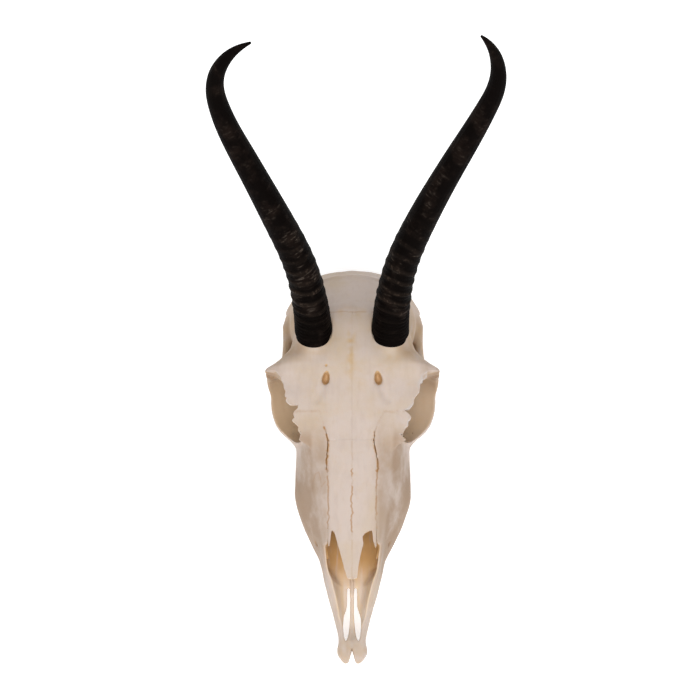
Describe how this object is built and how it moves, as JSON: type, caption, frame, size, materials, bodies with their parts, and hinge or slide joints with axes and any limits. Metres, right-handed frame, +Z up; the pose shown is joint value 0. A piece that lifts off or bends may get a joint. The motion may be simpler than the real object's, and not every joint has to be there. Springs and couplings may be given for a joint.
{
  "type": "springbok skull",
  "caption": "Antelope skull without its lower jaw, with slim ringed black horns that spread and hook inwards, lying on its cheek teeth.",
  "frame": {"origin": "on the floor under the middle of the object's bounding box", "axes": "+Z up, the snout points to -Y, +X to the animal's left; the skull lies on its cheek teeth and the processes beside the neck joint"},
  "size_m": [0.1474, 0.2438, 0.2423],
  "materials": {
    "bone": "dry cleaned bone, matt to satin",
    "horn": "black keratin sheath, dull satin"
  },
  "bodies": {
    "root": {"braincase": "bone", "cheekbone_left": "bone", "cheekbone_right": "bone", "frontal_left": "bone", "frontal_right": "bone", "maxilla_left": "bone", "maxilla_right": "bone", "nasal_left": "bone", "nasal_right": "bone", "premaxilla_left": "bone", "premaxilla_right": "bone", "horn_left": "horn", "horn_right": "horn"}
  },
  "joints": []
}
